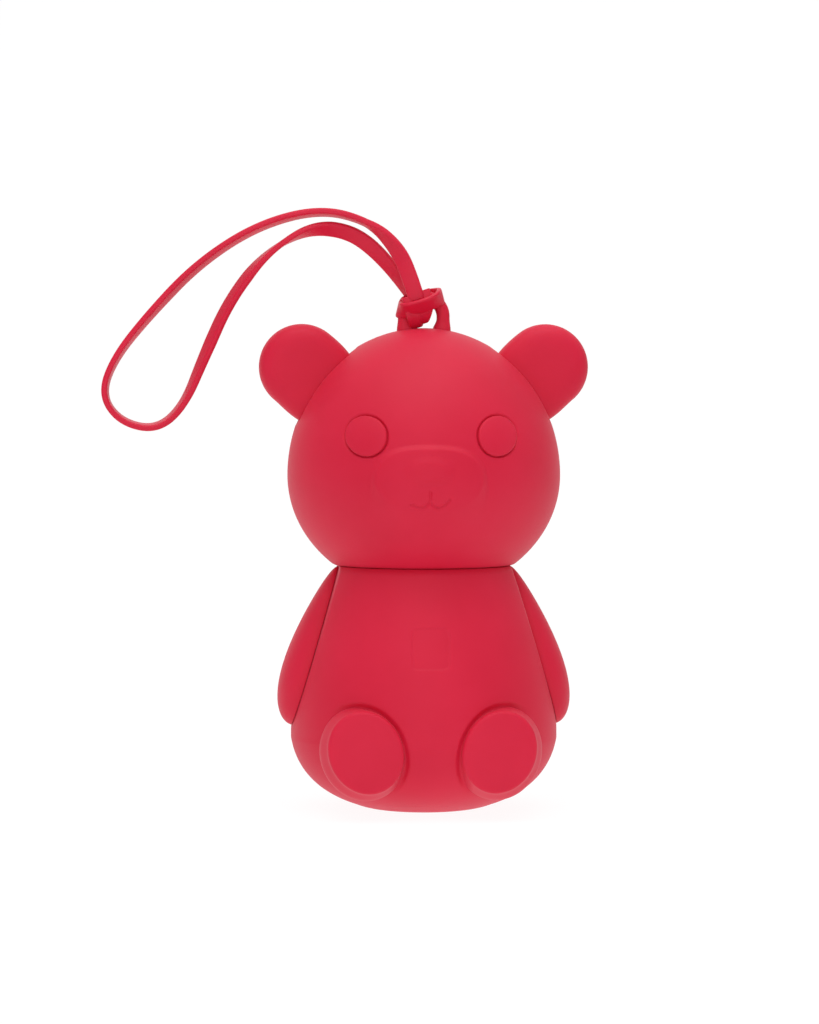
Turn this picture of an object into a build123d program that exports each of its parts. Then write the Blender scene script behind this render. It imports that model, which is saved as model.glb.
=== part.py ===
from build123d import *
import os
from math import asin, atan2, cos, degrees, radians, sin, sqrt, tan

# A sitting bear figure in soft vinyl, with swivelling head and arms and a wrist strap
# hitched to a loop on its crown. Millimetres, +Z up, the face looks along -Y, and the
# origin is the middle of the flat face under the figure.

# Cutters: lengths that reach right through whatever they cut.
THROUGH = 60.0
FLAT_CUTTER = 300.0
# The gap between two faces of one body that touch, so that the pieces don't overlap.
FACE_GAP = 0.02

# Head: an egg turned about Z, cut flat where it sits on the torso.
HEAD_RADIUS = 50.0
HEAD_CENTRE_Z = 122.3
HEAD_UP = 53.8
HEAD_DOWN = 43.7
HEAD_BASE_Z = 89.6
HEAD_WALL = 2.8
CROWN_Z = HEAD_CENTRE_Z + HEAD_UP
CROWN_PAD_RADIUS = 13.0
CROWN_PAD_Z = 170.6
CROWN_PAD_HEIGHT = 10.0

# Ears: puffy round tablets pushed into the sides of the head.
EAR_X = 44.7
EAR_Z = 161.9
EAR_RADIUS = 15.8
EAR_ROOT_SHIFT = 12.0
EAR_ROOT_RADIUS = 16.8
EAR_THICK = 15.0
EAR_ROUNDING = 6.5
EAR_LEAN = 38.0
EAR_PEG_RADIUS = 4.0
EAR_PEG_DEPTH = 6.5

# Eyes: domed discs pressed straight back into round pockets.
EYE_X = 23.4
EYE_Z = 137.2
EYE_RADIUS = 7.2
EYE_POCKET_RADIUS = 8.0
EYE_POCKET_DEPTH = 1.4
EYE_PROUD = 0.7
EYE_STEM_RADIUS = 2.0
EYE_STEM_Y = -33.0
EYE_CUTTER_Y = -20.0
FACE_CLEARANCE = 10.0

# Muzzle and nose: low relief on the face.
MUZZLE_Z = 120.0
MUZZLE_HALF_WIDTH = 20.0
MUZZLE_HALF_HEIGHT = 15.0
MUZZLE_PROUD = 0.9
NOSE_Z = 126.5
NOSE_HALF_WIDTH = 7.5
NOSE_HALF_HEIGHT = 4.5
NOSE_PROUD = 1.5

# Torso: a pear turned about Z, with a leaning flat on each side for the arm.
PIECE_GAP = 0.3
TORSO_TOP_Z = HEAD_BASE_Z - PIECE_GAP
TORSO_TOP_RADIUS = 30.5
# Each point on the side is (radius, height).
TORSO_SIDE = ((46.0, 52.0), (41.3, 69.0), (36.0, 84.2))
TORSO_HIP_RADIUS = 48.8
TORSO_HIP_Z = 31.0
TORSO_SEAT_DROP = 34.0
TORSO_WALL = 3.0
FLAT_TOP_X = 31.5
FLAT_TOP_Z = 88.1
FLAT_SLOPE = 0.30

# Neck: a hollow spool that holds the head to the torso.
NECK_RADIUS = 14.0
NECK_BORE_RADIUS = 9.5
NECK_FLANGE_RADIUS = 18.0
NECK_FLANGE_THICK = 3.0
RUNNING_CLEARANCE = 0.06

# Arms: flat-backed paddles that turn on shoulder plugs.
SHOULDER_Z = 76.0
# Each section is (distance down the arm from the shoulder, thickness, half width).
ARM_SECTIONS = ((-10.5, 1.9, 4.6), (-3.8, 4.1, 8.0), (9.5, 7.8, 12.0), (24.0, 9.5, 14.4),
                (36.0, 8.7, 14.2), (43.5, 6.0, 10.0))
ARM_TOP = -12.3
ARM_END = 47.3
PLUG_RADIUS = 5.0
PLUG_FLANGE_RADIUS = 7.5
PLUG_FLANGE_THICK = 2.0
PLUG_DEPTH_IN_ARM = 3.6

# Feet: leaning oval pads that stand out of the front of the torso.
FOOT_X = 25.6
FOOT_Z = 23.6
FOOT_FACE_Y = -48.6
FOOT_HALF_WIDTH = 15.0
FOOT_HALF_HEIGHT = 17.3
FOOT_LEAN = 22.0
FOOT_SPLAY = 5.0
FOOT_SOLE_INSET = 2.2
FOOT_SOLE_SHIFT = 1.7
FOOT_DRAFT_DEPTH = 10.0
FOOT_RIM = 2.0
FOOT_DEPTH = 30.0
FOOT_PEG_RADIUS = 5.0
FOOT_PEG_DEPTH = 6.0

# Hang loop: a round-section bail whose legs pass through the crown.
LOOP_Z = 180.3
LOOP_RADIUS = 7.1
LOOP_WIRE_RADIUS = 2.4
LOOP_LEG_Z = 169.0
KEEPER_THICK = 2.0
SCREW_RADIUS = 0.9
SCREW_LENGTH = 7.0
SCREW_HEAD_RADIUS = 2.1
SCREW_HEAD_THICK = 1.4

# Wrist strap: one flat loop of 6 x 2.3 section, hitched round the bail.
STRAP_WIDTH = 6.0
STRAP_THICK = 2.3
HITCH_LEAN = 17.0
HITCH_LENGTH = 5.4
HITCH_BORE_RADIUS = 3.4
HITCH_RADIUS = 5.7
# The strap's route in the XZ plane, from the hitch over and round its far end and back.
STRAP_ROUTE = ((-3.6, 191.5), (-8.2, 204.0), (-19.3, 214.6), (-37.6, 219.6), (-60.6, 213.6),
               (-82.0, 199.8), (-99.2, 182.0), (-112.8, 165.4), (-117.8, 151.8),
               (-111.0, 141.9), (-97.8, 138.8), (-87.8, 147.5), (-80.4, 165.5),
               (-70.8, 187.0), (-56.2, 205.2), (-37.0, 214.4), (-16.8, 206.6), (-5.4, 189.4))


def head_solid(grow):
    """The whole egg of the head, grown by a distance, above its flat base."""
    radius = HEAD_RADIUS + grow
    up = HEAD_UP + grow
    down = HEAD_DOWN + grow
    base = HEAD_BASE_Z - min(grow, 0)
    base_drop = HEAD_CENTRE_Z - base
    base_radius = radius * sqrt(1 - (base_drop / down) ** 2)
    base_angle = degrees(atan2(base_drop / down, base_radius / radius))
    lower = EllipticalCenterArc((0, HEAD_CENTRE_Z), radius, down, start_angle=-base_angle,
                                arc_size=base_angle)
    angles = [radians(angle) for angle in range(0, 91, 15)]
    upper = Spline(*[(radius * cos(angle), HEAD_CENTRE_Z + up * sin(angle)) for angle in angles],
                   tangents=[(0, 1), (-1, 0)])
    axis = Line((0, HEAD_CENTRE_Z + up), (0, base))
    floor = Line((0, base), (base_radius, base))
    return revolve(Plane.XZ * make_face(lower + upper + axis + floor), Axis.Z)


def torso_solid(inset):
    """The pear of the torso, shrunk by a distance, with its two arm flats."""
    # The side leans about 15 degrees, so shrinking it also lowers it by a quarter as much.
    hip = TORSO_HIP_RADIUS - inset
    drop = TORSO_SEAT_DROP - inset
    seat_angle = degrees(asin((TORSO_HIP_Z - inset) / drop))
    top_z = TORSO_TOP_Z - inset
    shoulder = [(radius - inset, z - inset / 4) for radius, z in TORSO_SIDE]
    side = Spline((hip, TORSO_HIP_Z), *shoulder, (TORSO_TOP_RADIUS - inset, top_z),
                  tangents=[(0, 1), (-1, 0)])
    seat = EllipticalCenterArc((0, TORSO_HIP_Z), hip, drop, start_angle=-seat_angle,
                               arc_size=seat_angle)
    lid = Line((TORSO_TOP_RADIUS - inset, top_z), (0, top_z))
    axis = Line((0, top_z), (0, inset))
    sole = Line((0, inset), seat @ 0)
    pear = revolve(Plane.XZ * make_face(seat + side + lid + axis + sole), Axis.Z)
    cutter = Box(FLAT_CUTTER, FLAT_CUTTER, FLAT_CUTTER)
    for mirror in (-1, 1):
        pear -= arm_place(mirror) * Pos(0, 0, FLAT_CUTTER / 2 - inset) * cutter
    return pear


def arm_place(mirror):
    """Where an arm sits: Z out of the torso's side flat, X down the arm, Y across it."""
    x = FLAT_TOP_X + FLAT_SLOPE * (FLAT_TOP_Z - SHOULDER_Z)
    normal = (mirror, 0, FLAT_SLOPE)
    down = (mirror * FLAT_SLOPE, 0, -1)
    return Plane(origin=(mirror * x, 0, SHOULDER_Z), x_dir=down, z_dir=normal).location


def ear_place(mirror):
    """An ear's own place: Z along its length, out of the head, X across, Y through it."""
    return Pos(mirror * EAR_X, 0, EAR_Z) * Rot(0, mirror * (90 - EAR_LEAN), 0)


def eye_cylinder(mirror, radius, back_y):
    """A cylinder from in front of the face straight back to a depth at an eye."""
    length = back_y + HEAD_RADIUS + FACE_CLEARANCE
    middle = back_y - length / 2
    return Pos(mirror * EYE_X, middle, EYE_Z) * Rot(90, 0, 0) * Cylinder(radius, length)


def face_relief(z, half_width, half_height, proud):
    """A low oval relief that follows the face."""
    oval = Plane.XZ * Pos(0, z) * Ellipse(half_width, half_height)
    return extrude(oval, THROUGH) & head_solid(proud)


def foot_place(mirror):
    """A foot's place: Z out of its sole, Y up along its long axis."""
    return (Pos(mirror * FOOT_X, FOOT_FACE_Y, FOOT_Z) * Rot(0, 0, mirror * FOOT_SPLAY)
            * Rot(90, 0, 0) * Rot(0, 0, -mirror * FOOT_LEAN))


def ear(mirror):
    root = Pos(0, -EAR_ROOT_SHIFT) * Circle(EAR_ROOT_RADIUS)
    outline = make_hull(Circle(EAR_RADIUS).edges() + root.edges())
    tablet = extrude(outline, EAR_THICK / 2, both=True)
    rims = tablet.edges().group_by(Axis.Z)
    tablet = Rot(90, 0, 0) * fillet(rims[0] + rims[-1], EAR_ROUNDING)
    peg = Pos(0, 0, -EAR_RADIUS) * Cylinder(EAR_PEG_RADIUS, 2 * EAR_RADIUS)
    body = ear_place(mirror) * tablet - head_solid(FACE_GAP)
    return body + (ear_place(mirror) * peg - head_solid(-EAR_PEG_DEPTH))


def eye(mirror):
    disc = head_solid(EYE_PROUD) & eye_cylinder(mirror, EYE_RADIUS, EYE_STEM_Y)
    disc -= head_solid(-EYE_POCKET_DEPTH)
    stem = eye_cylinder(mirror, EYE_STEM_RADIUS, EYE_STEM_Y) & head_solid(0)
    return disc + stem


def head_shell():
    shell = head_solid(0)
    shell += face_relief(MUZZLE_Z, MUZZLE_HALF_WIDTH, MUZZLE_HALF_HEIGHT, MUZZLE_PROUD)
    shell += face_relief(NOSE_Z, NOSE_HALF_WIDTH, NOSE_HALF_HEIGHT, NOSE_PROUD)
    crown_pad = Cylinder(CROWN_PAD_RADIUS, CROWN_PAD_HEIGHT)
    crown_pad = Pos(0, 0, CROWN_PAD_Z + CROWN_PAD_HEIGHT / 2) * crown_pad
    shell -= head_solid(-HEAD_WALL) - crown_pad
    shell -= Pos(0, 0, HEAD_BASE_Z) * Cylinder(NECK_RADIUS + RUNNING_CLEARANCE, THROUGH)
    for mirror in (-1, 1):
        pocket = eye_cylinder(mirror, EYE_POCKET_RADIUS, EYE_CUTTER_Y)
        shell -= pocket - head_solid(-EYE_POCKET_DEPTH)
        shell -= eye_cylinder(mirror, EYE_STEM_RADIUS, EYE_CUTTER_Y)
        shell -= ear_place(mirror) * Cylinder(EAR_PEG_RADIUS, THROUGH)
        shell -= Pos(mirror * LOOP_RADIUS, 0, CROWN_Z) * Cylinder(LOOP_WIRE_RADIUS, THROUGH)
    return shell


def torso_shell():
    shell = torso_solid(0) - torso_solid(TORSO_WALL)
    shell -= Pos(0, 0, TORSO_TOP_Z) * Cylinder(NECK_RADIUS, THROUGH)
    for mirror in (-1, 1):
        shell -= arm_place(mirror) * Cylinder(PLUG_RADIUS + RUNNING_CLEARANCE, THROUGH)
        shell -= foot_place(mirror) * Cylinder(FOOT_PEG_RADIUS, THROUGH)
    return shell


def neck_plug():
    barrel_low = TORSO_TOP_Z - TORSO_WALL
    barrel_high = HEAD_BASE_Z + HEAD_WALL + PIECE_GAP
    barrel_height = barrel_high - barrel_low
    low_flange = Pos(0, 0, barrel_low - NECK_FLANGE_THICK / 2)
    high_flange = Pos(0, 0, barrel_high + NECK_FLANGE_THICK / 2)
    spool = Pos(0, 0, (barrel_low + barrel_high) / 2) * Cylinder(NECK_RADIUS, barrel_height)
    spool += low_flange * Cylinder(NECK_FLANGE_RADIUS, NECK_FLANGE_THICK)
    spool += high_flange * Cylinder(NECK_FLANGE_RADIUS, NECK_FLANGE_THICK)
    return spool - Pos(0, 0, HEAD_BASE_Z) * Cylinder(NECK_BORE_RADIUS, THROUGH)


def arm(mirror):
    stations = [Vertex(ARM_TOP, 0, PIECE_GAP)]
    for along, thick, half_width in ARM_SECTIONS:
        section = Plane(origin=(along, 0, PIECE_GAP), x_dir=(0, 1, 0), z_dir=(1, 0, 0))
        crown = EllipticalCenterArc((0, 0), half_width, thick, start_angle=0, arc_size=180)
        back = Line((-half_width, 0), (half_width, 0))
        stations.append(section * make_face(crown + back))
    stations.append(Vertex(ARM_END, 0, PIECE_GAP))
    paddle = loft(stations)
    pocket = Pos(0, 0, PLUG_DEPTH_IN_ARM / 2) * Cylinder(PLUG_RADIUS, PLUG_DEPTH_IN_ARM)
    return arm_place(mirror) * (paddle - pocket)


def shoulder_plug(mirror):
    flange_top = -TORSO_WALL - PIECE_GAP
    length = PLUG_DEPTH_IN_ARM - flange_top
    barrel = Pos(0, 0, PLUG_DEPTH_IN_ARM - length / 2) * Cylinder(PLUG_RADIUS, length)
    flange = Pos(0, 0, flange_top - PLUG_FLANGE_THICK / 2)
    flange = flange * Cylinder(PLUG_FLANGE_RADIUS, PLUG_FLANGE_THICK)
    return arm_place(mirror) * (barrel + flange)


def foot(mirror):
    sole = Ellipse(FOOT_HALF_WIDTH - FOOT_SOLE_INSET, FOOT_HALF_HEIGHT - FOOT_SOLE_INSET)
    root = Pos(0, 0, -FOOT_DRAFT_DEPTH) * Ellipse(FOOT_HALF_WIDTH, FOOT_HALF_HEIGHT)
    pad = loft([Pos(-mirror * FOOT_SOLE_SHIFT, 0, 0) * sole, root])
    pad += extrude(root, FOOT_DRAFT_DEPTH - FOOT_DEPTH)
    pad = fillet(pad.edges().sort_by(Axis.Z)[-1], FOOT_RIM)
    peg = Pos(0, 0, -FOOT_DEPTH / 2) * Cylinder(FOOT_PEG_RADIUS, FOOT_DEPTH)
    body = foot_place(mirror) * pad - torso_solid(-FACE_GAP)
    peg = foot_place(mirror) * peg - torso_solid(FOOT_PEG_DEPTH)
    return body + peg


def hang_loop():
    arch = CenterArc((0, 0), LOOP_RADIUS, 0, 180)
    leg_length = LOOP_Z - LOOP_LEG_Z
    legs = [Line((LOOP_RADIUS, -leg_length), (LOOP_RADIUS, 0)),
            Line((-LOOP_RADIUS, 0), (-LOOP_RADIUS, -leg_length))]
    path = Plane.XZ * Wire([legs[0].edge(), arch.edge(), legs[1].edge()])
    start = Plane(origin=path @ 0, z_dir=path % 0)
    bail = Pos(0, 0, LOOP_Z) * sweep(start * Circle(LOOP_WIRE_RADIUS), path=path)
    screw_hole = Pos(0, 0, SCREW_LENGTH / 2) * Cylinder(SCREW_RADIUS, SCREW_LENGTH)
    for mirror in (-1, 1):
        bail -= screw_place(mirror) * screw_hole
    return bail


def screw_place(mirror):
    """The underside of the keeper on a leg's axis."""
    return Pos(mirror * LOOP_RADIUS, 0, LOOP_LEG_Z - KEEPER_THICK)


def loop_keeper():
    plate = SlotCenterToCenter(2 * LOOP_RADIUS, 4 * LOOP_WIRE_RADIUS)
    bar = Pos(0, 0, LOOP_LEG_Z - KEEPER_THICK) * extrude(plate, KEEPER_THICK)
    for mirror in (-1, 1):
        bar -= screw_place(mirror) * Cylinder(SCREW_RADIUS, 3 * KEEPER_THICK)
    return bar


def loop_screws():
    screws = []
    for mirror in (-1, 1):
        shank = Pos(0, 0, SCREW_LENGTH / 2) * Cylinder(SCREW_RADIUS, SCREW_LENGTH)
        head = Pos(0, 0, -SCREW_HEAD_THICK / 2) * Cylinder(SCREW_HEAD_RADIUS, SCREW_HEAD_THICK)
        screws.append(screw_place(mirror) * (shank + head))
    return Compound(screws)


def strap_hitch():
    """The turns of strap round the bail, as one collar on the bail's own axis there."""
    lean = radians(HITCH_LEAN)
    middle = (-LOOP_RADIUS * sin(lean), 0, LOOP_Z + LOOP_RADIUS * cos(lean))
    along = Plane(origin=middle, z_dir=(cos(lean), 0, sin(lean))).location
    return along * (Cylinder(HITCH_RADIUS, HITCH_LENGTH) - Cylinder(HITCH_BORE_RADIUS, THROUGH))


def wrist_strap():
    """A flat strap swept along straight runs joined by tangent arcs."""
    points = [Vector(x, 0, z) for x, z in STRAP_ROUTE]
    runs = [after - before for before, after in zip(points, points[1:])]
    radii = []
    for before, after in zip(runs, runs[1:]):
        half_turn = radians(before.get_angle(after)) / 2
        radii.append(0.45 * min(before.length, after.length) / tan(half_turn))
    path = FilletPolyline(*points, radius=radii)
    start = Plane(origin=path @ 0, x_dir=(0, 1, 0), z_dir=path % 0)
    strap = sweep(start * Rectangle(STRAP_WIDTH, STRAP_THICK), path=path)
    print("strap bend radii:", [round(radius, 1) for radius in radii])
    print("strap length:", round(path.length, 1), "mm")
    print("strap volume:", round(strap.volume), "of",
          round(STRAP_WIDTH * STRAP_THICK * path.length))
    return strap


def model():
    parts = {"head_shell": head_shell(), "torso_shell": torso_shell(), "neck_plug": neck_plug(),
             "hang_loop": hang_loop(), "loop_keeper": loop_keeper(), "loop_screws": loop_screws(),
             "strap_hitch": strap_hitch(), "wrist_strap": wrist_strap()}
    for side, mirror in (("left", 1), ("right", -1)):
        parts["ear_" + side] = ear(mirror)
        parts["eye_" + side] = eye(mirror)
        parts["arm_" + side] = arm(mirror)
        parts["shoulder_plug_" + side] = shoulder_plug(mirror)
        parts["foot_" + side] = foot(mirror)
    return parts


os.makedirs("parts", exist_ok=True)
for name, shape in model().items():
    export_step(shape, "parts/" + name + ".step")
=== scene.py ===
from math import cos, pi, radians, sin, sqrt

import bmesh
import bpy
import numpy as np
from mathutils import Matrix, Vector


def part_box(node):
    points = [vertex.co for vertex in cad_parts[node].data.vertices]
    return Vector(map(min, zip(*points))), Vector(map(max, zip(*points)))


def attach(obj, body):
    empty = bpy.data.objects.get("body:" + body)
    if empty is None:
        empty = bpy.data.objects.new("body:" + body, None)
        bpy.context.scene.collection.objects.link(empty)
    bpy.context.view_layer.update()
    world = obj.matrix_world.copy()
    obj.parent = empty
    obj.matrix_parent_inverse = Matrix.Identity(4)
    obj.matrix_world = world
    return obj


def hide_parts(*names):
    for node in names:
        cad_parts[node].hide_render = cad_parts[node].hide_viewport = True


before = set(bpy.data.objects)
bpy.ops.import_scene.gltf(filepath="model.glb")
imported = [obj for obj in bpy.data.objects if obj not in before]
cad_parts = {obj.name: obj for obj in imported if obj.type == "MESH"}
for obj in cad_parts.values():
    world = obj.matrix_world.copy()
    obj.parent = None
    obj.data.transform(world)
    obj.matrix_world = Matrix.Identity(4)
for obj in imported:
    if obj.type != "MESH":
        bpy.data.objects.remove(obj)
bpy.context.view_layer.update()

# Metres, in the frame's own axes: the figure sits on z = 0 and looks along -Y.
MM = 0.001
SIDES = {"left": 1, "right": -1}

HEAD_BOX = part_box("head_shell")
HEAD_RADIUS = (HEAD_BOX[1][0] - HEAD_BOX[0][0]) / 2
CROWN_Z = HEAD_BOX[1][2]
HEAD_UP = 53.8 * MM
HEAD_DOWN = 43.7 * MM
HEAD_CENTRE_Z = CROWN_Z - HEAD_UP

EYE_X = 23.4 * MM
EYE_Z = 137.2 * MM
EYE_RADIUS = 7.15 * MM
EYE_POCKET_RADIUS = 7.75 * MM
EYE_POCKET_DEPTH = 0.8 * MM
EYE_DOME = 0.55
EYE_BACK = -1.3

MUZZLE_X = -1.3 * MM
MUZZLE_Z = 118.6 * MM
MUZZLE_HALF_WIDTH = 20.9 * MM
MUZZLE_HALF_HEIGHT = 15.6 * MM
MUZZLE_PROUD = 1.05 * MM
NOSE_Z = 124.8 * MM
NOSE_HALF_WIDTH = 8.2 * MM
NOSE_HALF_HEIGHT = 5.0 * MM
NOSE_PROUD = 0.55 * MM
MOUTH_DEPTH = 0.5 * MM
MOUTH_HALF_WIDTH = 0.8 * MM

EAR_X = 44.7 * MM
EAR_Z = 161.9 * MM
EAR_LEAN = radians(38)
EAR_RADIUS = 15.7 * MM
EAR_HALF_THICK = 7.6 * MM
EAR_STRETCH = 1.5
EAR_GROOVE_DEPTH = 1.6 * MM
EAR_GROOVE_WIDTH = 2.3 * MM

TORSO_TOP_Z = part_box("torso_shell")[1][2]
BASE_BLEND_Z = 2.2 * MM
PANEL_X = -0.6 * MM
PANEL_Z = 61.6 * MM
PANEL_HALF_WIDTH = 7.0 * MM
PANEL_HALF_HEIGHT = 7.6 * MM
PANEL_DEPTH = 0.35 * MM

# The flat that an arm lies on leans in by this much for each millimetre of height.
FLAT_SLOPE = 0.30
FLAT_TOP_X = 31.5 * MM
FLAT_TOP_Z = 88.1 * MM
SHOULDER_Z = 76.0 * MM
SHOULDER_X = FLAT_TOP_X + FLAT_SLOPE * (FLAT_TOP_Z - SHOULDER_Z)
ARM_MIDDLE = 16.9
ARM_HALF_LENGTH = 30.3

FOOT_X = 25.4 * MM
FOOT_Y = -48.6 * MM
FOOT_Z = 23.7 * MM
FOOT_LEAN = radians(22)
FOOT_SPLAY = radians(5)
FOOT_HALF_WIDTH = 15.2 * MM
FOOT_HALF_HEIGHT = 17.0 * MM
FOOT_GROOVE_DEPTH = 1.1 * MM
FOOT_GROOVE_WIDTH = 1.8 * MM

LOOP_Z = 180.3 * MM
LOOP_RADIUS = 7.1 * MM
LOOP_WIRE_RADIUS = 2.4 * MM
LOOP_LEG_LOW_Z = 172.0
LOOP_LEG_HIGH_Z = 180.0
HITCH_LEAN = radians(17)

STRAP_WIDTH = 6.0 * MM
STRAP_THICK = 2.3 * MM
HITCH_THICK = 1.8 * MM


# ---------------------------------------------------------------- camera and stage

def add_camera():
    """A long lens, a little to the figure's right and a little above its middle."""
    azimuth = radians(-3.8)
    elevation = radians(2.15)
    distance = 1.3
    framed_height = 0.3758
    aim = Vector((-0.0052, 0.0004, 0.1087))
    back = Vector((sin(azimuth) * cos(elevation), -cos(azimuth) * cos(elevation), sin(elevation)))
    data = bpy.data.cameras.new("camera")
    data.sensor_width = 36.0
    data.lens = data.sensor_width * distance / framed_height
    data.clip_end = 20.0
    camera = bpy.data.objects.new("camera", data)
    camera.location = aim + distance * back
    camera.rotation_euler = back.to_track_quat("Z", "Y").to_euler()
    bpy.context.scene.collection.objects.link(camera)
    bpy.context.scene.camera = camera


def add_light(name, place, aim, size, power):
    data = bpy.data.lights.new(name, "AREA")
    data.shape = "DISK"
    data.size = size
    data.energy = power
    light = bpy.data.objects.new(name, data)
    light.location = place
    direction = Vector(place) - Vector(aim)
    light.rotation_euler = direction.to_track_quat("Z", "Y").to_euler()
    bpy.context.scene.collection.objects.link(light)


def add_room_light(scene):
    """A room that is bright overhead and dimmer at the sides."""
    world = bpy.data.worlds.new("studio")
    world.use_nodes = True
    nodes, links = world.node_tree.nodes, world.node_tree.links
    place = nodes.new("ShaderNodeTexCoord")
    split = nodes.new("ShaderNodeSeparateXYZ")
    ramp = nodes.new("ShaderNodeValToRGB")
    ramp.color_ramp.elements[0].position = 0.25
    ramp.color_ramp.elements[0].color = (0.36, 0.36, 0.365, 1)
    ramp.color_ramp.elements[1].position = 0.95
    ramp.color_ramp.elements[1].color = (1.0, 1.0, 1.0, 1)
    links.new(place.outputs["Generated"], split.inputs["Vector"])
    links.new(split.outputs["Z"], ramp.inputs["Fac"])
    links.new(ramp.outputs["Color"], nodes["Background"].inputs["Color"])
    nodes["Background"].inputs["Strength"].default_value = 1.0
    scene.world = world


def floor_disc():
    sides = 48
    turns = np.linspace(0, 2 * pi, sides, endpoint=False)
    bm = bmesh.new()
    rows = []
    for radius in (0.4, 0.8, 1.6, 3.2):
        rows.append([bm.verts.new((radius * cos(turn), radius * sin(turn), 0)) for turn in turns])
    bm.faces.new(rows[0])
    for inner, outer in zip(rows, rows[1:]):
        for i in range(sides):
            j = (i + 1) % sides
            bm.faces.new((inner[i], outer[i], outer[j], inner[j]))
    return mesh_object("studio_floor", bm)


def paper_sweep():
    """A sheet that lies just over the floor behind the figure and bends up into a wall."""
    half_width, start, bend_radius, top = 1.5, 1.4, 0.7, 2.4
    lift = 0.5 * MM
    profile = [(start, lift)]
    for turn in np.linspace(0.1, pi / 2, 16):
        profile.append((start + bend_radius * sin(turn), lift + bend_radius * (1 - cos(turn))))
    profile.append((start + bend_radius, top))
    bm = bmesh.new()
    rows = [[bm.verts.new((x, y, z)) for x in (-half_width, half_width)] for y, z in profile]
    for near, far in zip(rows, rows[1:]):
        bm.faces.new((near[0], near[1], far[1], far[0])).smooth = True
    return mesh_object("studio_sweep", bm)


def add_stage():
    """A round white floor whose painted glow fades at its rim, a paper sweep behind it, and soft lamps.
    """
    scene = bpy.context.scene
    scene.view_settings.view_transform = "Standard"
    add_room_light(scene)
    paper = paper_material()
    for piece in (floor_disc(), paper_sweep()):
        piece.data.materials.append(paper)
    add_light("overhead", (-0.05, -0.40, 1.30), (0, 0, 0.12), 1.2, 5.9)
    add_light("front", (-0.20, -1.7, 0.45), (0, 0, 0.1), 0.9, 3.1)


def paper_material():
    """White paper that glows by emission as painted light standing in for studio lamps on it: full white
    near the figure and behind it, a painted dimming far out to the sides and the front.
    """
    material, nodes, links, shader = new_material("studio_paper")
    place = nodes.new("ShaderNodeTexCoord")
    spread = nodes.new("ShaderNodeMapping")
    spread.inputs["Location"].default_value = (0, -1.0, 0)
    spread.inputs["Scale"].default_value = (0.80, 0.62, 0.0)
    links.new(place.outputs["Object"], spread.inputs["Vector"])
    reach = nodes.new("ShaderNodeVectorMath")
    reach.operation = "LENGTH"
    links.new(spread.outputs["Vector"], reach.inputs[0])
    # Painted light: the glow ramps from white near the figure to grey far out, a painted falloff of
    # studio light.
    ramp = colour_ramp(nodes, (1.0, 1.0, 1.0), (0.36, 0.36, 0.365), low_at=0.67, high_at=1.0)
    fade = nodes.new("ShaderNodeMapRange")
    fade.inputs["From Max"].default_value = 2.0
    links.new(reach.outputs["Value"], fade.inputs["Value"])
    links.new(fade.outputs["Result"], ramp.inputs["Fac"])
    # The paper's emission is a painted glow. It whitens the floor and sweep and also lights the figure.
    links.new(ramp.outputs["Color"], shader.inputs["Emission Color"])
    shader.inputs["Emission Strength"].default_value = 0.93
    shader.inputs["Base Color"].default_value = (0.10, 0.10, 0.10, 1)
    shader.inputs["Roughness"].default_value = 0.9
    shader.inputs["Specular IOR Level"].default_value = 0.0
    return material


# ---------------------------------------------------------------- materials

def new_material(name):
    material = bpy.data.materials.new(name)
    material.use_nodes = True
    nodes = material.node_tree.nodes
    return material, nodes, material.node_tree.links, nodes["Principled BSDF"]


def colour_ramp(nodes, low, high, low_at=0.35, high_at=0.65):
    ramp = nodes.new("ShaderNodeValToRGB")
    ramp.color_ramp.elements[0].position = low_at
    ramp.color_ramp.elements[0].color = (*low, 1)
    ramp.color_ramp.elements[1].position = high_at
    ramp.color_ramp.elements[1].color = (*high, 1)
    return ramp


def moulded_material(name, low, high, roughness, grain_scale, grain_depth, sheen, glow):
    """Moulded soft plastic: cloudy pigment, a fine matte grain, a touch of light inside."""
    material, nodes, links, shader = new_material(name)
    place = nodes.new("ShaderNodeTexCoord")
    cloud = nodes.new("ShaderNodeTexNoise")
    cloud.inputs["Scale"].default_value = 30.0
    cloud.inputs["Detail"].default_value = 3.0
    links.new(place.outputs["Object"], cloud.inputs["Vector"])
    pigment = colour_ramp(nodes, low, high)
    links.new(cloud.outputs["Fac"], pigment.inputs["Fac"])
    links.new(pigment.outputs["Color"], shader.inputs["Base Color"])
    grain = nodes.new("ShaderNodeTexNoise")
    grain.inputs["Scale"].default_value = grain_scale
    grain.inputs["Detail"].default_value = 4.0
    links.new(place.outputs["Object"], grain.inputs["Vector"])
    matte = nodes.new("ShaderNodeMapRange")
    matte.inputs["To Min"].default_value = roughness - 0.06
    matte.inputs["To Max"].default_value = roughness + 0.06
    links.new(grain.outputs["Fac"], matte.inputs["Value"])
    links.new(matte.outputs["Result"], shader.inputs["Roughness"])
    bump = nodes.new("ShaderNodeBump")
    bump.inputs["Strength"].default_value = 0.35
    bump.inputs["Distance"].default_value = grain_depth
    links.new(grain.outputs["Fac"], bump.inputs["Height"])
    links.new(bump.outputs["Normal"], shader.inputs["Normal"])
    shader.inputs["Specular IOR Level"].default_value = 0.28
    shader.inputs["Sheen Weight"].default_value = sheen
    shader.inputs["Sheen Roughness"].default_value = 0.45
    shader.inputs["Subsurface Weight"].default_value = glow
    shader.inputs["Subsurface Radius"].default_value = (1.0, 0.12, 0.16)
    shader.inputs["Subsurface Scale"].default_value = 4 * MM
    return material


def vinyl_material():
    return moulded_material("soft_touch_vinyl", (0.66, 0.007, 0.040), (0.70, 0.010, 0.047),
                            roughness=0.56, grain_scale=1800.0, grain_depth=0.06 * MM,
                            sheen=0.035, glow=0.15)


def strap_material():
    return moulded_material("strap_vinyl", (0.66, 0.008, 0.042), (0.71, 0.011, 0.049),
                            roughness=0.42, grain_scale=2400.0, grain_depth=0.04 * MM,
                            sheen=0.035, glow=0.1)


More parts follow.
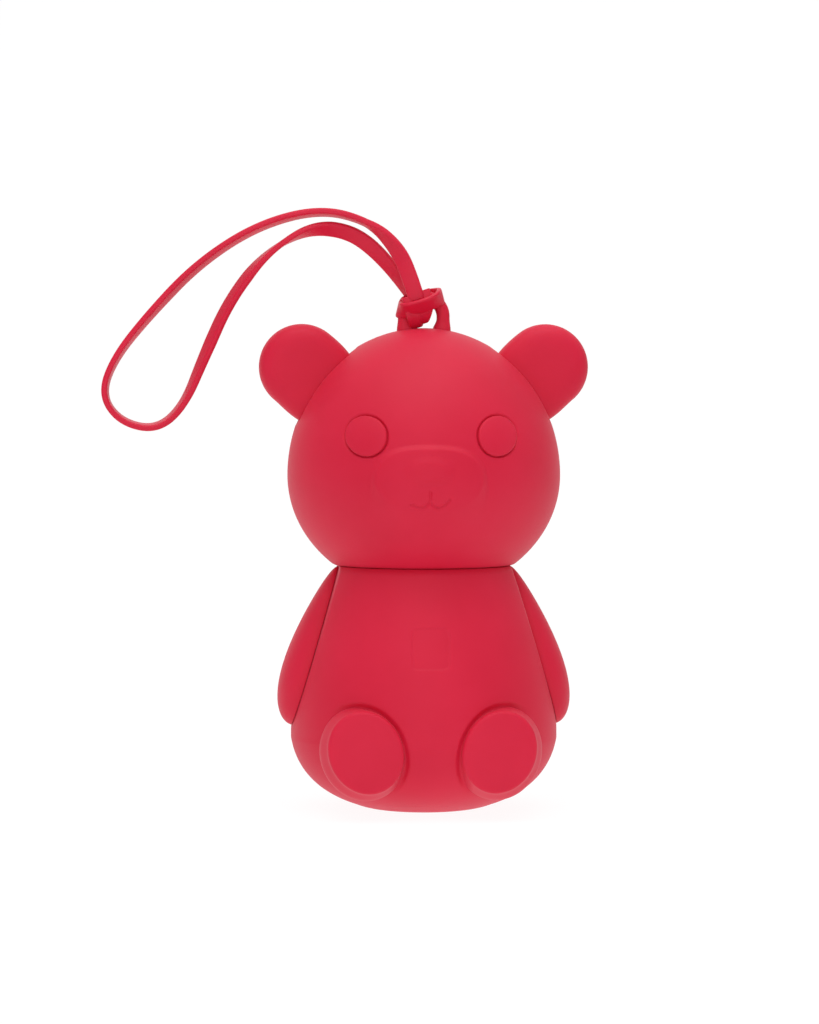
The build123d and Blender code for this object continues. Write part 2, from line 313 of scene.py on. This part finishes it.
def plug_material():
    return moulded_material("joint_plastic", (0.62, 0.60, 0.56), (0.68, 0.66, 0.62),
                            roughness=0.45, grain_scale=1500.0, grain_depth=0.03 * MM,
                            sheen=0.0, glow=0.0)


def screw_material():
    """Zinc plate with fine turning marks."""
    material, nodes, links, shader = new_material("screw_steel")
    place = nodes.new("ShaderNodeTexCoord")
    marks = nodes.new("ShaderNodeTexWave")
    marks.inputs["Scale"].default_value = 900.0
    links.new(place.outputs["Object"], marks.inputs["Vector"])
    tone = colour_ramp(nodes, (0.52, 0.52, 0.54), (0.66, 0.66, 0.68))
    links.new(marks.outputs["Fac"], tone.inputs["Fac"])
    links.new(tone.outputs["Color"], shader.inputs["Base Color"])
    shader.inputs["Metallic"].default_value = 1.0
    shader.inputs["Roughness"].default_value = 0.34
    return material


# ---------------------------------------------------------------- mesh helpers

def mesh_object(name, bm):
    mesh = bpy.data.meshes.new(name)
    bm.to_mesh(mesh)
    bm.free()
    piece = bpy.data.objects.new(name, mesh)
    bpy.context.scene.collection.objects.link(piece)
    return piece


def skin(name, rings, first=None, last=None):
    """A closed smooth mesh through rings of points, with a point or a flat cap at each end."""
    rings = np.asarray(rings)
    count, around = rings.shape[:2]
    bm = bmesh.new()
    rows = [[bm.verts.new(point) for point in ring] for ring in rings.tolist()]
    for before, after in zip(rows, rows[1:]):
        for i in range(around):
            j = (i + 1) % around
            bm.faces.new((before[i], before[j], after[j], after[i]))
    for row, tip in ((rows[0], first), (rows[-1], last)):
        if tip is None:
            bm.faces.new(row)
            continue
        centre = bm.verts.new(tip)
        for i in range(around):
            bm.faces.new((row[i], row[(i + 1) % around], centre))
    bmesh.ops.recalc_face_normals(bm, faces=bm.faces)
    for face in bm.faces:
        face.smooth = True
    return mesh_object(name, bm)


def finish_piece(piece, body, slot, material, *nodes):
    piece.data.materials.append(material)
    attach(piece, body)
    if nodes:
        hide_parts(*nodes)
    return piece


def smoothstep(value, low, high):
    """0 at low, 1 at high, smooth between; low may be the larger."""
    t = np.clip((value - low) / (high - low), 0, 1)
    return t * t * (3 - 2 * t)


def soft_min(a, b, rounding):
    """The smaller of two distances, with the corner between them rounded."""
    blend = np.clip(0.5 + 0.5 * (b - a) / rounding, 0, 1)
    return b * (1 - blend) + a * blend - rounding * blend * (1 - blend)


# ---------------------------------------------------------------- head

def half_height(lift):
    """The egg's half height above its centre, or the smaller one below it."""
    return np.where(lift > 0, HEAD_UP, HEAD_DOWN)


def head_reach(direction):
    """How far the head's surface is from its centre along unit directions, its flat seat included."""
    x, y, z = np.moveaxis(direction, -1, 0)
    egg = 1 / np.sqrt((x * x + y * y) / HEAD_RADIUS**2 + z * z / half_height(z)**2)
    floor = (HEAD_CENTRE_Z - TORSO_TOP_Z) / np.maximum(-z, 1e-6)
    return soft_min(egg, floor, 1.2 * MM)


def head_normal(points):
    """The egg's outward normal at points on it."""
    x, y, z = np.moveaxis(points, -1, 0)
    lift = z - HEAD_CENTRE_Z
    normal = np.stack([x / HEAD_RADIUS**2, y / HEAD_RADIUS**2, lift / half_height(lift)**2], axis=-1)
    return normal / np.linalg.norm(normal, axis=-1, keepdims=True)


def face_point(x, z):
    """The egg's surface straight behind a place on the face."""
    lift = z - HEAD_CENTRE_Z
    radius = HEAD_RADIUS * np.sqrt(np.maximum(1 - (lift / half_height(lift)) ** 2, 0))
    y = -np.sqrt(np.maximum(radius**2 - x**2, 0))
    return np.stack([x, y, z + 0 * x], axis=-1)


def stroke(x, z, line, half_width):
    """How deep a soft groove along a line of points in millimetres is, from 0 to 1."""
    nearest = np.full(np.shape(x), 1.0)
    for (x0, z0), (x1, z1) in zip(line, line[1:]):
        run = np.array([x1 - x0, z1 - z0]) * MM
        along = ((x - x0 * MM) * run[0] + (z - z0 * MM) * run[1]) / (run @ run)
        along = np.clip(along, 0, 1)
        away = np.hypot(x - x0 * MM - along * run[0], z - z0 * MM - along * run[1])
        nearest = np.minimum(nearest, away)
    return 1 - smoothstep(nearest, 0, half_width)


def oval_distance(across, up, power, root):
    """0 in the middle of a squarish oval and 1 on its rim, for places in units of its half sizes."""
    return (np.abs(across) ** power[0] + np.abs(up) ** power[1]) ** (1 / root)


def face_relief(x, z):
    """The height of the muzzle, nose and mouth over the egg, from the front."""
    x = x - MUZZLE_X
    oval = oval_distance(x / MUZZLE_HALF_WIDTH, (z - MUZZLE_Z) / MUZZLE_HALF_HEIGHT, (2.8, 2.8), 2.8)
    chin = smoothstep(MUZZLE_Z + 2 * MM - z, 0, 14 * MM)
    muzzle = MUZZLE_PROUD * (1 - smoothstep(oval, 0.87 - 0.5 * chin, 1.02 + 0.1 * chin))
    muzzle += 0.5 * MM * np.clip(1 - oval, 0, 1)
    oval = oval_distance(x / NOSE_HALF_WIDTH, (z - NOSE_Z) / NOSE_HALF_HEIGHT, (2.6, 2.2), 2.4)
    nose = NOSE_PROUD * (1 - smoothstep(oval, 0.5, 1.15))
    smile = [(-6.4, 113.4), (-4.6, 112.6), (-2.6, 112.4), (-1.2, 112.8), (0, 114.4)]
    smile += [(1.6, 112.6), (3.6, 112.3), (5.6, 113.4), (6.9, 115.0)]
    mouth = np.maximum(stroke(x, z, smile, MOUTH_HALF_WIDTH),
                       stroke(x, z, [(0.3, 117.6), (0, 114.4)], MOUTH_HALF_WIDTH))
    return muzzle + nose - MOUTH_DEPTH * mouth


def ear_frame(mirror):
    """An ear's middle, and the directions out from the head and across."""
    middle = np.array([mirror * EAR_X, 0, EAR_Z])
    out = np.array([mirror * cos(EAR_LEAN), 0, sin(EAR_LEAN)])
    across = np.array([-mirror * sin(EAR_LEAN), 0, cos(EAR_LEAN)])
    return middle, out, across


def ear_groove(points):
    """How far the head's surface dips where an ear enters it."""
    groove = np.zeros(points.shape[:-1])
    for mirror in SIDES.values():
        middle, out, across = ear_frame(mirror)
        along = (points - middle) @ out / EAR_RADIUS
        wide = (points - middle) @ across / (EAR_RADIUS * 1.07)
        deep = points[..., 1] / EAR_HALF_THICK
        flat = np.hypot(np.where(along < 0, along / EAR_STRETCH, along), wide)
        inside = (flat**4 + np.abs(deep) ** 4) ** 0.25
        away = np.abs(inside - 1) * EAR_HALF_THICK * 1.5
        groove = np.maximum(groove, 1 - smoothstep(away, 0, EAR_GROOVE_WIDTH))
    return EAR_GROOVE_DEPTH * groove


def head_piece(material):
    """The whole head on a grid of rings round the face, finest over the features."""
    centre = np.array([0, 0, HEAD_CENTRE_Z])
    forward = np.array([0, -50.0, 6.0])
    forward /= np.linalg.norm(forward)
    right = np.array([1.0, 0, 0])
    up = np.cross(right, forward)
    fine = np.linspace(0.2, 46, 124)
    middle = np.linspace(46.6, 108, 104)
    coarse = np.linspace(109.5, 179.2, 48)
    turns = np.linspace(0, 2 * pi, 600, endpoint=False)
    theta = np.radians(np.concatenate([fine, middle, coarse]))[:, None, None]
    sweep = np.cos(turns)[None, :, None] * right + np.sin(turns)[None, :, None] * up
    direction = np.cos(theta) * forward + np.sin(theta) * sweep
    points = centre + direction * head_reach(direction)[..., None]
    x, y, z = np.moveaxis(points, -1, 0)
    height = np.where(y < 0, face_relief(x, z), 0)
    for mirror in SIDES.values():
        away = np.hypot(x - mirror * EYE_X, z - EYE_Z)
        sunk = 1 - smoothstep(away, EYE_POCKET_RADIUS - 0.5 * MM, EYE_POCKET_RADIUS + 0.25 * MM)
        height = np.where(y < 0, height * (1 - sunk) - EYE_POCKET_DEPTH * sunk, height)
    height = height - ear_groove(points)
    points = points + height[..., None] * head_normal(points)
    front = centre + forward * (head_reach(forward[None, :])[0] + 1.6 * MM)
    back = centre - forward * head_reach(-forward[None, :])[0]
    head = skin("head_skin", points, first=front, last=back)
    return finish_piece(head, "head", "soft_touch_vinyl", material, "head_shell")


def eye_piece(side, mirror, material):
    """A domed disc that follows the face, with a rounded rim, sitting in its pocket."""
    rings = []
    around = np.linspace(0, 2 * pi, 96, endpoint=False)
    # Each row is a share of the radius and a lift in millimetres over the head's own surface.
    profile = [(r, EYE_DOME * (2 - r * r)) for r in np.linspace(0.06, 0.90, 16)]
    edge = profile[-1][1]
    for turn in np.linspace(0.2, pi / 2, 8):
        profile.append((0.90 + 0.10 * sin(turn), edge - 0.75 * (1 - cos(turn))))
    profile += [(1.0, edge - 1.2), (1.0, EYE_BACK)]
    for reach, lift in profile:
        x = mirror * EYE_X + EYE_RADIUS * reach * np.cos(around)
        z = EYE_Z + EYE_RADIUS * reach * np.sin(around)
        base = face_point(x, z)
        rings.append(base + lift * MM * head_normal(base))
    middle = face_point(np.array([mirror * EYE_X]), np.array([EYE_Z]))
    front = (middle + 2 * EYE_DOME * MM * head_normal(middle))[0]
    back = (middle + EYE_BACK * MM * head_normal(middle))[0]
    eye = skin("eye_disc_" + side, rings, first=front, last=back)
    return finish_piece(eye, "head", "soft_touch_vinyl", material, "eye_" + side)


def ear_piece(side, mirror, material):
    """A puffy tablet: a round ear that widens a little towards the head."""
    middle, out, across = ear_frame(mirror)
    around = np.linspace(0, 2 * pi, 128, endpoint=False)
    along = np.where(np.cos(around) > 0, np.cos(around), EAR_STRETCH * np.cos(around))
    root = np.clip(-np.cos(around), 0, 1)
    flare = np.where(np.sin(around) > 0, 0.09 * smoothstep(root, 0, 1), 0.46 * root**1.4)
    wide = np.sin(around) * (1 + flare)
    rings = []
    for angle in np.linspace(-pi / 2 + 0.06, pi / 2 - 0.06, 56):
        reach = max(cos(angle), 0) ** 0.42
        lift = EAR_HALF_THICK * np.sign(sin(angle)) * abs(sin(angle)) ** 0.85
        ring = middle + EAR_RADIUS * reach * (along[:, None] * out + wide[:, None] * across)
        ring[:, 1] += lift
        rings.append(ring)
    depth = np.array([0, EAR_HALF_THICK, 0])
    ear = skin("ear_skin_" + side, rings, first=middle - depth, last=middle + depth)
    return finish_piece(ear, "head", "soft_touch_vinyl", material, "ear_" + side)


# ---------------------------------------------------------------- torso, arms and feet

def torso_radius(z):
    """The pear's radius at a height: a full, squarish bowl below, a long taper above."""
    hip_z, hip, drop, fullness = 35.0 * MM, 49.4 * MM, 36.0 * MM, 2.5
    below = np.clip((hip_z - z) / drop, 0, 1)
    bowl = hip * (1 - below**fullness) ** (1 / fullness)
    taper = 48.8 * MM - 12.8 * MM * np.clip((z - 31.0 * MM) / (53.2 * MM), 0, None) ** 1.62
    return np.minimum(bowl, taper)


def foot_frame(mirror):
    """A foot's middle, and the directions across its sole, up it and out of it."""
    centre = np.array([mirror * FOOT_X, FOOT_Y, FOOT_Z])
    splay = mirror * FOOT_SPLAY
    ahead = np.array([sin(splay), -cos(splay), 0])
    sideways = np.array([cos(splay), sin(splay), 0])
    upward = np.array([0, 0, 1.0])
    long_axis = cos(FOOT_LEAN) * upward + mirror * sin(FOOT_LEAN) * sideways
    short_axis = cos(FOOT_LEAN) * sideways - mirror * sin(FOOT_LEAN) * upward
    return centre, short_axis, long_axis, ahead


def foot_groove(points):
    """How far the torso dips beside the inner and upper edge of a foot."""
    groove = np.zeros(points.shape[:-1])
    for mirror in SIDES.values():
        centre, short_axis, long_axis, _ = foot_frame(mirror)
        across = (points - centre) @ short_axis / FOOT_HALF_WIDTH
        along = (points - centre) @ long_axis / FOOT_HALF_HEIGHT
        oval = np.hypot(across, along)
        inner = smoothstep(-mirror * across + 0.35 * along, -0.1, 0.5)
        edge = 1 - smoothstep(np.abs(oval - 1.0) * FOOT_HALF_WIDTH, 0, FOOT_GROOVE_WIDTH)
        groove = np.maximum(groove, edge * inner * (points[..., 1] < 0))
    return FOOT_GROOVE_DEPTH * groove


def panel_recess(points):
    """A plain, very shallow square panel on the chest, with rounded corners."""
    across = (points[..., 0] - PANEL_X) / PANEL_HALF_WIDTH
    up = (points[..., 2] - PANEL_Z) / PANEL_HALF_HEIGHT
    square = oval_distance(across, up, (8, 8), 8)
    return PANEL_DEPTH * (1 - smoothstep(square, 0.92, 1.0)) * (points[..., 1] < 0)


def torso_piece(material):
    """Rings up the pear, closest over the feet, the chest panel and the rounded top edge."""
    runs = [(2.5, 12, 24), (12.5, 46, 74), (46.6, 53, 12)]
    runs += [(53.4, 71, 46), (71.7, 85, 22), (85.3, 89.3, 20)]
    heights = MM * np.concatenate([np.linspace(*run) for run in runs])
    around = np.linspace(0, 2 * pi, 640, endpoint=False)
    outward = np.stack([np.cos(around), np.sin(around), 0 * around], axis=-1)
    rings = []
    blend_radius = float(torso_radius(np.array(BASE_BLEND_Z)))
    for turn in np.linspace(0, 1, 14):
        radius = 14 * MM * (1 - turn) ** 2 + 2 * 21 * MM * turn * (1 - turn) + blend_radius * turn**2
        ring = radius * outward
        ring[:, 2] = BASE_BLEND_Z * turn**2
        rings.append(ring - foot_groove(ring)[:, None] * outward)
    shoulder, drop = 4.6 * MM, 2.5 * MM
    for z in heights:
        under_top = np.clip(z - (TORSO_TOP_Z - drop), 0, drop)
        turn_in = shoulder - sqrt(shoulder**2 - under_top**2)
        radius = torso_radius(np.array(z)) - turn_in
        flat_x = FLAT_TOP_X - FLAT_SLOPE * (z - FLAT_TOP_Z)
        flat = flat_x / np.maximum(np.abs(np.cos(around)), 1e-6)
        reach = soft_min(np.full(around.shape, float(radius)), flat, 0.6 * MM)
        ring = reach[:, None] * outward
        ring[:, 2] = z
        dip = foot_groove(ring) + panel_recess(ring)
        rings.append(ring - dip[:, None] * outward)
    rings.insert(0, rings[0] * 0.5)
    rings.append(rings[-1] * np.array([0.5, 0.5, 1]))
    torso = skin("torso_skin", rings, first=(0, 0, 0), last=(0, 0, TORSO_TOP_Z))
    return finish_piece(torso, "torso", "soft_touch_vinyl", material, "torso_shell")


def arm_piece(side, mirror, material):
    """A flat-backed paddle that thickens and widens down to a round hand."""
    shoulder = np.array([mirror * SHOULDER_X, 0, SHOULDER_Z])
    outward = np.array([mirror, 0, FLAT_SLOPE]) / sqrt(1 + FLAT_SLOPE**2)
    down = np.array([mirror * FLAT_SLOPE, 0, -1]) / sqrt(1 + FLAT_SLOPE**2)
    around = np.linspace(0, 2 * pi, 120, endpoint=False)
    rings = []
    for angle in np.linspace(-pi / 2 + 0.05, pi / 2 - 0.05, 90):
        s = ARM_MIDDLE + ARM_HALF_LENGTH * sin(angle)
        envelope = cos(angle)
        thick = (6.7 + 0.12 * s) * envelope
        wide = (11.2 + 0.158 * s) * envelope
        edge = 0.04 + min(0.22, 0.08 * thick)
        bulge = np.where(np.sin(around) > 0, 0.92, 0.5)
        face = np.sign(np.sin(around)) * np.abs(np.sin(around)) ** bulge
        lift = np.where(face > 0, edge + (thick - edge) * face, edge + (edge - 0.04) * face)
        across = wide * np.sign(np.cos(around)) * np.abs(np.cos(around)) ** 0.92
        ring = shoulder + MM * (s * down + lift[:, None] * outward)
        ring[:, 1] += MM * across
        rings.append(ring)
    first = shoulder + MM * ((ARM_MIDDLE - ARM_HALF_LENGTH) * down + 0.4 * outward)
    last = shoulder + MM * ((ARM_MIDDLE + ARM_HALF_LENGTH) * down + 0.4 * outward)
    arm = skin("arm_skin_" + side, rings, first=first, last=last)
    return finish_piece(arm, side + "_arm", "soft_touch_vinyl", material, "arm_" + side)


def foot_piece(side, mirror, material):
    """A leaning oval pad: a gently domed sole, a rounded rim and a drafted side."""
    centre, short_axis, long_axis, ahead = foot_frame(mirror)
    around = np.linspace(0, 2 * pi, 160, endpoint=False)
    inset, rim, draft = 1.9 * MM, 1.5 * MM, 8.0 * MM
    dome = 0.7 * MM
    shift = MM * (0.7 * long_axis - mirror * 1.8 * short_axis)
    profile = [(inset + rim, reach, -dome * reach**2) for reach in np.linspace(0.05, 1, 22)]
    for turn in np.linspace(0.15, pi / 2 - 0.15, 10):
        profile.append((inset + rim * (1 - sin(turn)), 1.0, -dome - rim * (1 - cos(turn))))
    profile += [(inset * (1 - t), 1.0, -dome - rim - draft * t) for t in np.linspace(0.05, 1, 12)]
    profile.append((0.0, 1.0, -30 * MM))
    rings = []
    for tuck, reach, depth in profile:
        near_sole = float(1 - smoothstep(-depth, rim, draft + rim))
        middle = centre + near_sole * shift
        oval = ((FOOT_HALF_WIDTH - tuck) * reach * np.cos(around)[:, None] * short_axis
                + (FOOT_HALF_HEIGHT - tuck) * reach * np.sin(around)[:, None] * long_axis)
        rings.append(middle + oval + depth * ahead)
    foot = skin("foot_skin_" + side, rings, first=centre + shift)
    return finish_piece(foot, "torso", "soft_touch_vinyl", material, "foot_" + side)


# ---------------------------------------------------------------- hang loop

def loop_piece(material):
    """The bail: an arch on two legs that flare where they meet the crown."""
    around = np.linspace(0, 2 * pi, 40, endpoint=False)
    stations = [(-1, z) for z in np.linspace(LOOP_LEG_LOW_Z, LOOP_LEG_HIGH_Z, 14)]
    arch = [(angle, None) for angle in np.linspace(pi, 0, 48)]
    rings = []
    for mark, z in stations + arch + [(1, z) for _, z in reversed(stations)]:
        if z is None:
            middle = np.array([LOOP_RADIUS * cos(mark), 0, LOOP_Z + LOOP_RADIUS * sin(mark)])
            out = np.array([cos(mark), 0, sin(mark)])
            flare = 0.0
        else:
            middle = np.array([mark * LOOP_RADIUS, 0, z * MM])
            out = np.array([float(mark), 0, 0])
            flare = 1.6 * MM * float(1 - smoothstep(z, 175.0, 179.5))
        inner = np.where(np.cos(around) < 0, flare, 0.25 * flare)
        wide = (LOOP_WIRE_RADIUS + inner) * np.sign(np.cos(around)) * np.abs(np.cos(around)) ** 0.8
        deep = (LOOP_WIRE_RADIUS + 0.5 * flare) * np.sign(np.sin(around)) * np.abs(np.sin(around)) ** 0.8
        rings.append(middle + wide[:, None] * out + deep[:, None] * np.array([0, 1.0, 0]))
    loop = skin("hang_loop_skin", rings)
    return finish_piece(loop, "head", "soft_touch_vinyl", material, "hang_loop")


# ---------------------------------------------------------------- wrist strap and its hitch

# The strap's route in millimetres: nearly the CAD model's x and z, and y to part the two strands.
STRAP_ROUTE = ((-2.7, -4.1, 186.0), (-5.0, -4.2, 193.8), (-9.6, -3.2, 204.8), (-19.4, -1.8, 214.6),
               (-37.6, -0.5, 219.6), (-60.6, 0, 213.6), (-82.0, 0, 199.8), (-99.2, 0, 182.0),
               (-112.8, 0, 165.4), (-117.8, 0, 151.8), (-111.0, 0, 141.9), (-97.8, 0, 138.8),
               (-87.8, 0, 147.5), (-80.4, 0, 165.5), (-70.8, 0, 187.0), (-56.2, 0, 205.2),
               (-37.0, 0.6, 214.4), (-16.8, 1.9, 206.6), (-4.0, 2.2, 187.4))


def strap_route():
    """Points along the strap's own smooth line."""
    data = bpy.data.curves.new("strap_route", "CURVE")
    data.dimensions = "3D"
    data.resolution_u = 24
    spline = data.splines.new("NURBS")
    spline.points.add(len(STRAP_ROUTE) - 1)
    for point, place in zip(spline.points, STRAP_ROUTE):
        point.co = (*(MM * value for value in place), 1)
    spline.order_u = 3
    spline.use_endpoint_u = True
    guide = bpy.data.objects.new("strap_route", data)
    bpy.context.scene.collection.objects.link(guide)
    mesh = bpy.data.meshes.new_from_object(guide)
    points = np.array([vertex.co[:] for vertex in mesh.vertices])
    bpy.data.objects.remove(guide)
    bpy.data.meshes.remove(mesh)
    return points


def strip_section(width, thick):
    """A flat strap's outline with rounded edges, as (across, through) offsets."""
    around = np.linspace(0, 2 * pi, 28, endpoint=False)
    across = width / 2 * np.sign(np.cos(around)) * np.abs(np.cos(around)) ** 0.35
    through = thick / 2 * np.sign(np.sin(around)) * np.abs(np.sin(around)) ** 0.55
    return across, through


def strip(name, points, across_at, width=STRAP_WIDTH, thick=STRAP_THICK):
    """A flat strap along points, its width laid along a direction that may change on the way."""
    points = np.asarray(points)
    tangents = np.gradient(points, axis=0)
    tangents /= np.linalg.norm(tangents, axis=1, keepdims=True)
    widths = np.broadcast_to(width, len(points))
    rings = []
    for i, (point, tangent) in enumerate(zip(points, tangents)):
        wanted = np.asarray(across_at(i / (len(points) - 1), tangent))
        side = wanted - tangent * (wanted @ tangent)
        side /= np.linalg.norm(side)
        normal = np.cross(tangent, side)
        across, through = strip_section(widths[i], thick)
        rings.append(point + across[:, None] * side + through[:, None] * normal)
    return skin(name, rings)


def strap_piece(material, hitch):
    """The free loop of strap: its face to the front by the hitch, its edge along the far end."""
    points = strap_route()
    view = np.array([0, 1.0, 0])

    # How far the strap is turned from edge-on to face-on, in degrees, along its length.
    marks = [0, 0.06, 0.11, 0.15, 0.24, 0.36, 0.45, 0.52, 0.60, 0.68, 0.75, 0.82, 0.87, 0.92, 0.96, 1.0]
    turns = [82, 76, 40, 9, 16, 22, 12, 7, 10, 16, 34, 30, -3, -52, -64, -30]

    def across(t, tangent):
        turn = radians(np.interp(t, marks, turns))
        return cos(turn) * view + sin(turn) * np.cross(tangent, view)

    strap = strip("wrist_strap_loop", points, across)
    finish_piece(strap, "strap", "strap_vinyl", material, "wrist_strap")
    return strap


def curve_points(controls, count):
    """Points evenly along a smooth curve through control points."""
    controls = np.asarray(controls, dtype=float)
    padded = np.vstack([2 * controls[0] - controls[1], controls, 2 * controls[-1] - controls[-2]])
    points = []
    for t in np.linspace(0, len(controls) - 1, count):
        i = min(int(t), len(controls) - 2)
        u = t - i
        p0, p1, p2, p3 = padded[i:i + 4]
        points.append(0.5 * (2 * p1 + (p2 - p0) * u + (2 * p0 - 5 * p1 + 4 * p2 - p3) * u * u
                             + (3 * p1 - p0 - 3 * p2 + p3) * u**3))
    return np.array(points)


def hitch_piece(material):
    """The cow hitch: a bight across the front, its ends over the bail, the strands through it."""
    middle = np.array([-LOOP_RADIUS * sin(HITCH_LEAN), 0, LOOP_Z + LOOP_RADIUS * cos(HITCH_LEAN)])
    along = np.array([cos(HITCH_LEAN), 0, sin(HITCH_LEAN)])
    rise = np.array([-sin(HITCH_LEAN), 0, cos(HITCH_LEAN)])
    toward = np.array([0, -1.0, 0])

    def place(a, r, t):
        return middle + MM * (a * along + r * rise + t * toward)

    bight_path = [(0.0, -0.6, -5.0), (-5.0, -0.8, -4.4), (-7.6, -1.8, -1.2), (-7.3, -2.5, 2.2),
                  (-4.4, -3.1, 5.0), (0.6, -3.2, 6.1), (4.6, -2.9, 5.7), (7.3, -2.2, 3.4),
                  (8.0, -1.6, -0.2), (5.0, -0.9, -4.2), (0.4, -0.5, -5.0)]
    bight_points = curve_points([place(*p) for p in bight_path], 120)

    def bight_across(t, tangent):
        front = float(1 - smoothstep(abs(t - 0.5), 0.10, 0.30))
        lean_left = float(smoothstep(0.5 - t, 0.12, 0.28))
        return rise + 0.85 * front * toward + (0.55 * lean_left + 0.04) * along

    bight = strip("hitch_bight", bight_points, bight_across, thick=HITCH_THICK)
    right_strand = [(1.8, 2.0, 3.4), (1.9, -1.4, 4.1), (1.2, -4.8, 3.9), (-0.6, -7.9, 2.3),
                    (-1.6, -8.2, -0.4), (-0.4, -5.0, -3.2), (0.6, -1.0, -4.0)]
    left_strand = [(-3.0, 1.4, 3.4), (-3.2, -2.4, 4.0), (-3.8, -6.0, 3.6), (-3.9, -8.9, 1.9),
                   (-3.4, -8.9, -0.4), (-2.8, -5.4, -3.2), (-2.2, -1.0, -4.0)]
    widths = MM * (6.0 - 1.5 * np.sin(np.linspace(0, pi, 80)) ** 4)
    strands = []
    for name, route in (("hitch_strand_right", right_strand), ("hitch_strand_left", left_strand)):
        points = curve_points([place(*p) for p in route], 80)
        strands.append(strip(name, points, lambda t, tangent: along, width=widths))
    for piece in (bight, *strands):
        finish_piece(piece, "strap", "strap_vinyl", material)
    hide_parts("strap_hitch")
    return bight, *strands


# ---------------------------------------------------------------- build

def build():
    add_camera()
    vinyl = vinyl_material()
    strap_vinyl = strap_material()
    strap_piece(strap_vinyl, hitch_piece(strap_vinyl))
    head_piece(vinyl)
    torso_piece(vinyl)
    loop_piece(vinyl)
    for side, mirror in SIDES.items():
        eye_piece(side, mirror, vinyl)
        ear_piece(side, mirror, vinyl)
        arm_piece(side, mirror, vinyl)
        foot_piece(side, mirror, vinyl)
    plug = plug_material()
    steel = screw_material()
    for node in ("neck_plug", "shoulder_plug_left", "shoulder_plug_right", "loop_keeper", "loop_screws"):
        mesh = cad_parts[node].data
        mesh.materials.clear()
        mesh.materials.append(steel if node == "loop_screws" else plug)
    add_stage()


build()
